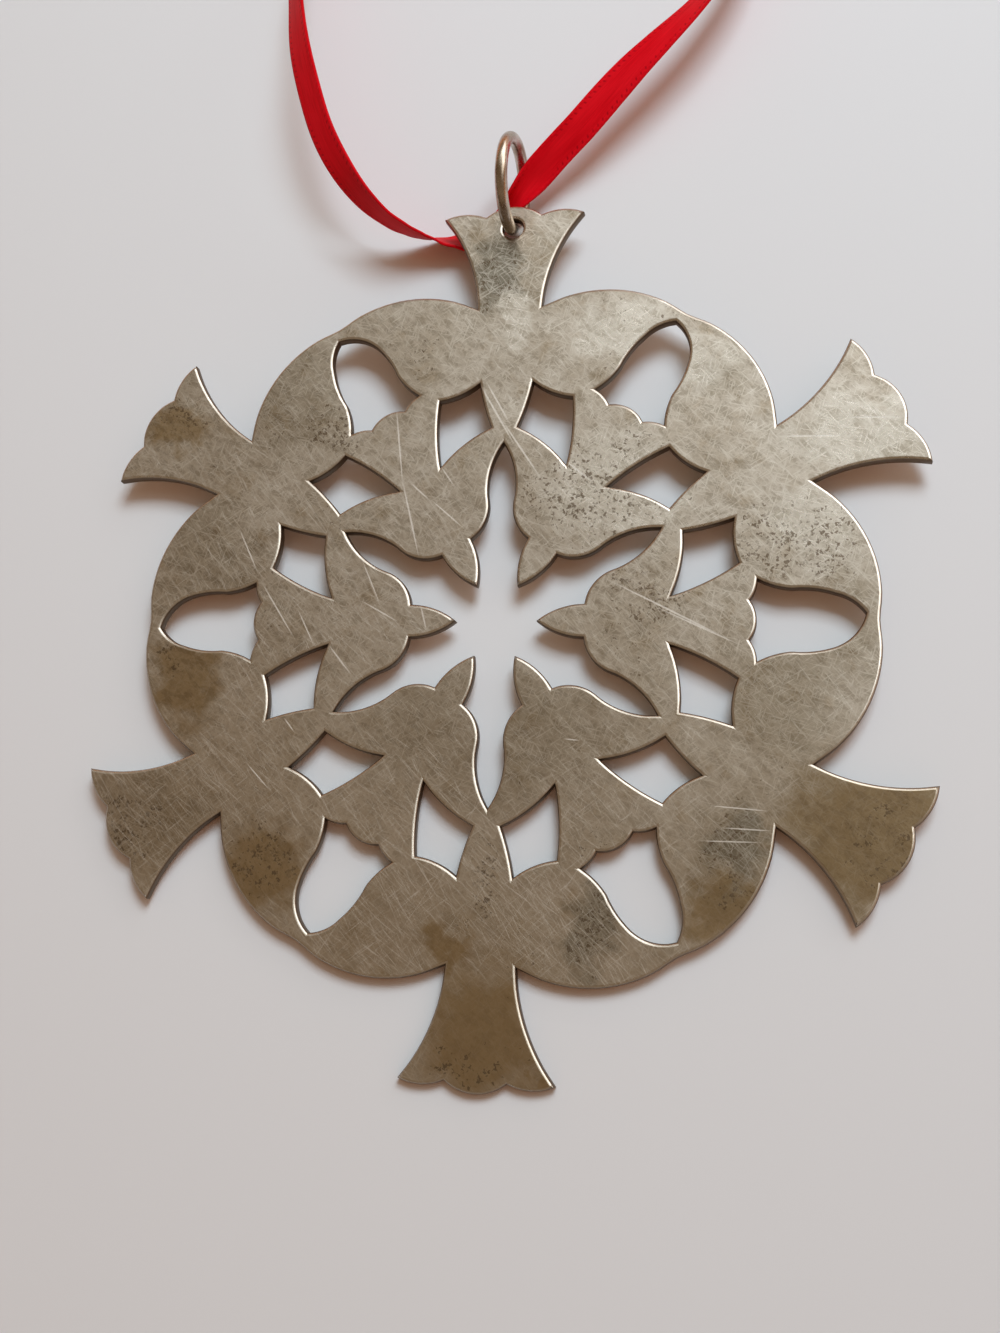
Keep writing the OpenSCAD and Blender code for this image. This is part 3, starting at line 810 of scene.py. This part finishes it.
colour = mix_colours(veil, CLEAN_SILVER, VEILED_SILVER)
colour = mix_colours((brown * 0.8).larger(mottle.step(0.54, 0.70) * 0.3), colour, BROWN_TARNISH)
colour = mix_colours(grey * 0.8, colour, GREY_TARNISH)
colour = mix_colours(dull, colour, DULL_FILM, "MULTIPLY")
# Browner towards the bottom of the sheet; this mask follows only the height on the sheet.
colour = mix_colours(lower * 0.22, colour, BROWN_TARNISH)
colour = mix_colours(soil * (1 - lower * 0.5), colour, SOIL_FILM, "MULTIPLY")
# Painted highlight: the bright places are lightened, partly as cleaner silver and partly as a painted
# reflection of the light.
colour = mix_colours(bright * 0.62, colour, BRIGHT_SILVER)
colour = mix_colours(grime, colour, GRIME_FILM, "MULTIPLY")
colour = mix_colours(rubbed * (0.5 + bright * 0.2), colour, BRIGHT_SILVER)
colour = mix_colours(pits * 0.8, colour, PIT_COLOUR)
colour = mix_colours(hair * 0.65, colour, BRIGHT_SILVER)
print("face coloured,", len(silver.node_tree.nodes), "nodes")

# %% Finish the rim, the wall and the back
SAWN_WALL_SHADE = (0.16, 0.115, 0.08)
BACK_FILM = (0.80, 0.58, 0.42)

mark = start.add("ShaderNodeAttribute", {"attribute_name": "edge"}, out="Fac")
edge = 4 - mark.larger(4 - mark)
sawn = edge.step(0.75, 1.35)
rim = edge.step(0.0, 0.35) * (1 - sawn)
colour = mix_colours(rim * 0.7, colour, CLEAN_SILVER)
# The sawn wall is coloured near black: partly its dull tarnish, partly painted shade on the wall.
colour = mix_colours(sawn, colour, SAWN_WALL_SHADE)
colour = mix_colours(mark.step(2.7, 3.4) * 0.8, colour, BACK_FILM)
bump = bumped(speck * 0.5 - pits * 0.4 - hair * 0.4, 0.4, 0.015 * MM)
bump = bumped(cloud + mottle * 0.15, 1.0, 0.14 * MM, Normal=bump)
roughness = 0.33 + veil * 0.04 - rubbed * 0.04 + pits * 0.1 - rim * 0.05 + sawn * 0.15 - bright * 0.04
feed(shader, Base_Color=colour, Metallic=1 - hair * 0.4 * (1 - sawn), Roughness=roughness, Normal=bump)
print("material", silver.name, "with", len(silver.node_tree.nodes), "nodes")

# %% [markdown]
# ## The pierced sheet
# The sheet was sawn from flat silver and its edges were eased with a file, so the rim catches a thin bright
# line of light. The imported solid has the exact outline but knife-sharp edges. A bevel on hundreds of thin
# triangles goes wrong, so the sheet is built again from its outline: the loops of points round its face
# and round each opening are read from a merged copy of the solid, and smoothed between their corners.

# %% Read the outline of the sheet
def face_loops(source):
    """The closed loops of points round the upper face of a flat solid, and the way that face points."""
    solid = bmesh.new()
    solid.from_mesh(source)
    bmesh.ops.remove_doubles(solid, verts=solid.verts, dist=0.001 * MM)
    upper = [f for f in solid.faces if f.normal.z > 0.9]
    inside = set(upper)
    way = sum((f.normal * f.calc_area() for f in upper), Vector()).normalized()
    after = {}
    for f in upper:
        for corner in f.loops:
            if not any(other in inside for other in corner.edge.link_faces if other is not f):
                after[corner.vert] = corner.link_loop_next.vert
    loops = []
    while after:
        vert = next(iter(after))
        loop = []
        while vert in after:
            loop.append(vert.co.copy())
            vert = after.pop(vert)
        loops.append(loop)
    depth = max(way.dot(v.co) for v in solid.verts) - min(way.dot(v.co) for v in solid.verts)
    solid.free()
    return loops, way, depth


solid_loops, face_way, sheet_thick = face_loops(frame["nodes"]["dove_plate"].data)
print("sheet", round(sheet_thick / MM, 3), "mm thick,", len(solid_loops), "loops")

# %% Smooth the outline
CORNER = math.radians(32)
OUTLINE_STEPS = 3


def turns_of(loop):
    """The angle by which a closed loop of flat points turns at each point."""
    ahead = np.roll(loop, -1, axis=0) - loop
    behind = loop - np.roll(loop, 1, axis=0)
    cross = behind[:, 0] * ahead[:, 1] - behind[:, 1] * ahead[:, 0]
    return np.arctan2(cross, (behind * ahead).sum(axis=1))


def smooth_loop(loop):
    """More points on a closed loop, on soft curves between its corners; also where the corners are."""
    sharp = np.abs(turns_of(loop)) > CORNER
    count = len(loop)
    fine, corner = [], []
    for i in range(count):
        b, c = loop[i], loop[(i + 1) % count]
        a = b if sharp[i] else loop[i - 1]
        d = c if sharp[(i + 1) % count] else loop[(i + 2) % count]
        for k in range(OUTLINE_STEPS):
            u = k / OUTLINE_STEPS
            bend = (2 * a - 5 * b + 4 * c - d) * u**2 + (3 * b - a - 3 * c + d) * u**3
            fine.append((2 * b + (c - a) * u + bend) / 2)
            corner.append(bool(sharp[i]) and k == 0)
    return np.array(fine), corner


right_way = Vector((1, 0, 0))
far_way = face_way.cross(right_way).normalized()
face_level = face_way.dot(solid_loops[0][0])
flat_loops = [np.array([(p.dot(right_way), p.dot(far_way)) for p in loop]) for loop in solid_loops]
outline = [smooth_loop(loop) for loop in flat_loops]
point_count = sum(len(loop) for loop, _ in outline)
print("outline of", point_count, "points")

# %% [markdown]
# Each loop then becomes a stack of rings, from the upper face over the eased edge and down the wall to
# the back. Every ring is the outline drawn in by a little, so the edge is a true quarter round. The flat
# faces are filled between the innermost rings. An attribute counts from 0 on the face over 1 on the
# eased edge, where handling keeps the silver bright, and 2 on the sawn wall, which stays dull and is
# coloured near black, partly as tarnish and partly as painted shade, to 4 on the back.

# %% Shape the edge
EDGE_EASE = 0.30 * MM
BACK_EASE = 0.07 * MM
MITRE_LIMIT = 2.0
EIGHTH_TURN = math.radians(45)


def drawn_in(loop, inset):
    """A closed loop moved into the metal, which lies on its left."""
    ahead = unit(np.roll(loop, -1, axis=0) - loop)
    behind = np.roll(ahead, 1, axis=0)
    left_a, left_b = (np.stack([-e[:, 1], e[:, 0]], axis=1) for e in (ahead, behind))
    mitre = (left_a + left_b) / np.maximum(1 + (left_a * left_b).sum(axis=1), 0.2)[:, None]
    long = np.maximum(np.linalg.norm(mitre, axis=1) / MITRE_LIMIT, 1)[:, None]
    return loop + mitre / long * inset


def in_space(points, level):
    return [right_way * p[0] + far_way * p[1] + face_way * level for p in points]


profile = []
for angle in np.radians([0, 22.5, 45, 67.5, 90]):
    down = EDGE_EASE * (1 - math.cos(angle))
    profile.append((EDGE_EASE * (1 - math.sin(angle)), down, angle / EIGHTH_TURN))
for angle in np.radians([90, 45, 0]):
    down = sheet_thick - BACK_EASE * (1 - math.cos(angle))
    profile.append((BACK_EASE * (1 - math.sin(angle)), down, 4 - angle / EIGHTH_TURN))
print("edge of", len(profile), "rings")

# %% Build the sheet
sheet = bmesh.new()
edge_mark = sheet.verts.layers.float.new("edge")
caps = [[], []]
for loop, corner in outline:
    rings = []
    for inset, down, mark in profile:
        ring = [sheet.verts.new(p) for p in in_space(drawn_in(loop, inset), face_level - down)]
        for vert in ring:
            vert[edge_mark] = mark
        rings.append(ring)
    for upper_ring, lower_ring in zip(rings, rings[1:]):
        for i in range(len(loop)):
            n = (i + 1) % len(loop)
            wall = sheet.faces.new((upper_ring[i], lower_ring[i], lower_ring[n], upper_ring[n]))
            wall.smooth = True
        for i in range(len(loop)):
            if corner[i]:
                sheet.edges.get((upper_ring[i], lower_ring[i])).smooth = False
    caps[0].append(rings[0])
    caps[1].append(rings[-1])
for side, cap in enumerate(caps):
    flat = [[Vector((v.co.dot(right_way), v.co.dot(far_way), 0)) for v in ring] for ring in cap]
    verts = [v for ring in cap for v in ring]
    for corners in tessellate_polygon(flat):
        a, b, c = (verts[k] for k in corners)
        if (b.co - a.co).cross(c.co - a.co).dot(face_way) * (1 - 2 * side) < 0:
            a, c = c, a
        sheet.faces.new((a, b, c))
sheet_mesh = bpy.data.meshes.new("pierced_sheet")
sheet.to_mesh(sheet_mesh)
sheet.free()
print("sheet mesh of", len(sheet_mesh.polygons), "faces")

# %% Attach the sheet to the ornament and hide its solid
pierced_sheet = new_piece("pierced_sheet", sheet_mesh, silver)
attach(pierced_sheet, "ornament")
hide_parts("dove_plate")
print(pierced_sheet.name, "rides on the ornament")

# %% [markdown]
# ## The wire ring
# A jump ring is a round wire that is bent until its two ends meet. A circle with a very small gap, swept
# by the round of the wire and capped at both ends, is just that. The sizes are inputs of a small
# Geometry Nodes tree, and the finished ring is turned on to the axis of its joint, so that it runs through
# its hole exactly as the solid does.

# %% Make the polished wire
RUBBED_WIRE = (0.60, 0.52, 0.44)
FILMED_WIRE = (0.36, 0.28, 0.205)


def polished_wire():
    material, shader, start = new_material("polished_wire")
    place = in_millimetres(start)
    film = noise(place, 0.5, 3.0)
    rub = noise(place, 6.0, 3.0)
    colour = mix_colours(film.step(0.35, 0.70), RUBBED_WIRE, FILMED_WIRE)
    bump = bumped(rub, 0.25, 0.02 * MM)
    feed(shader, Base_Color=colour, Metallic=1.0, Roughness=0.20 + rub * 0.12, Normal=bump)
    return material


wire = polished_wire()
print("material", wire.name, "with", len(wire.node_tree.nodes), "nodes")

# %% Bend the ring
WIRE_THICK = 1.2 * MM
RING_RADIUS = 4.3 * MM
SEAM_WIDTH = 0.08 * MM
RING_STEPS = 160
WIRE_SIDES = 32

tree, start, given = node_tree("bent_wire", ["Radius", "Wire", "Sweep"])
arc = {"Resolution": RING_STEPS, "Radius": given["Radius"], "Sweep Angle": given["Sweep"]}
bend = start.add("GeometryNodeCurveArc", {}, arc)
section = {"Resolution": WIRE_SIDES, "Radius": given["Wire"] * 0.5}
round_wire = start.add("GeometryNodeCurvePrimitiveCircle", {}, section)
sweep = {"Curve": bend, "Profile Curve": round_wire, "Fill Caps": True}
swept = start.add("GeometryNodeCurveToMesh", {}, sweep)
end_tree(tree, start, start.add("GeometryNodeSetShadeSmooth", {}, {0: swept}), wire)

gap = SEAM_WIDTH / RING_RADIUS
ring_sizes = {"Radius": RING_RADIUS, "Wire": WIRE_THICK, "Sweep": 2 * math.pi - gap}
ring_mesh = grown_mesh(tree, bpy.data.meshes.new("no_carrier"), ring_sizes, "wire_ring")
print("ring of", len(ring_mesh.polygons), "faces, gap", round(SEAM_WIDTH / MM, 2), "mm")

# %% Hang the ring in its hole
SEAM_ANGLE = math.radians(-58.5)

joint = frame["joints"][0]
axis = Vector(joint["axis"]).normalized()
seam_way = Vector((0.0, math.cos(SEAM_ANGLE), math.sin(SEAM_ANGLE)))
seam = (seam_way - axis * seam_way.dot(axis)).normalized()
ring_turn = Matrix((seam, axis.cross(seam), axis)).transposed().to_4x4()
half_gap = Matrix.Rotation(gap / 2, 4, "Z")
ring_mesh.transform(Matrix.Translation(joint["pos_m"]) @ ring_turn @ half_gap)
wire_ring = new_piece("wire_ring", ring_mesh)
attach(wire_ring, "ring")
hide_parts("jump_ring")
low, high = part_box("jump_ring")
print("solid ring from", [round(v / MM, 2) for v in low], "to", [round(v / MM, 2) for v in high], "mm")
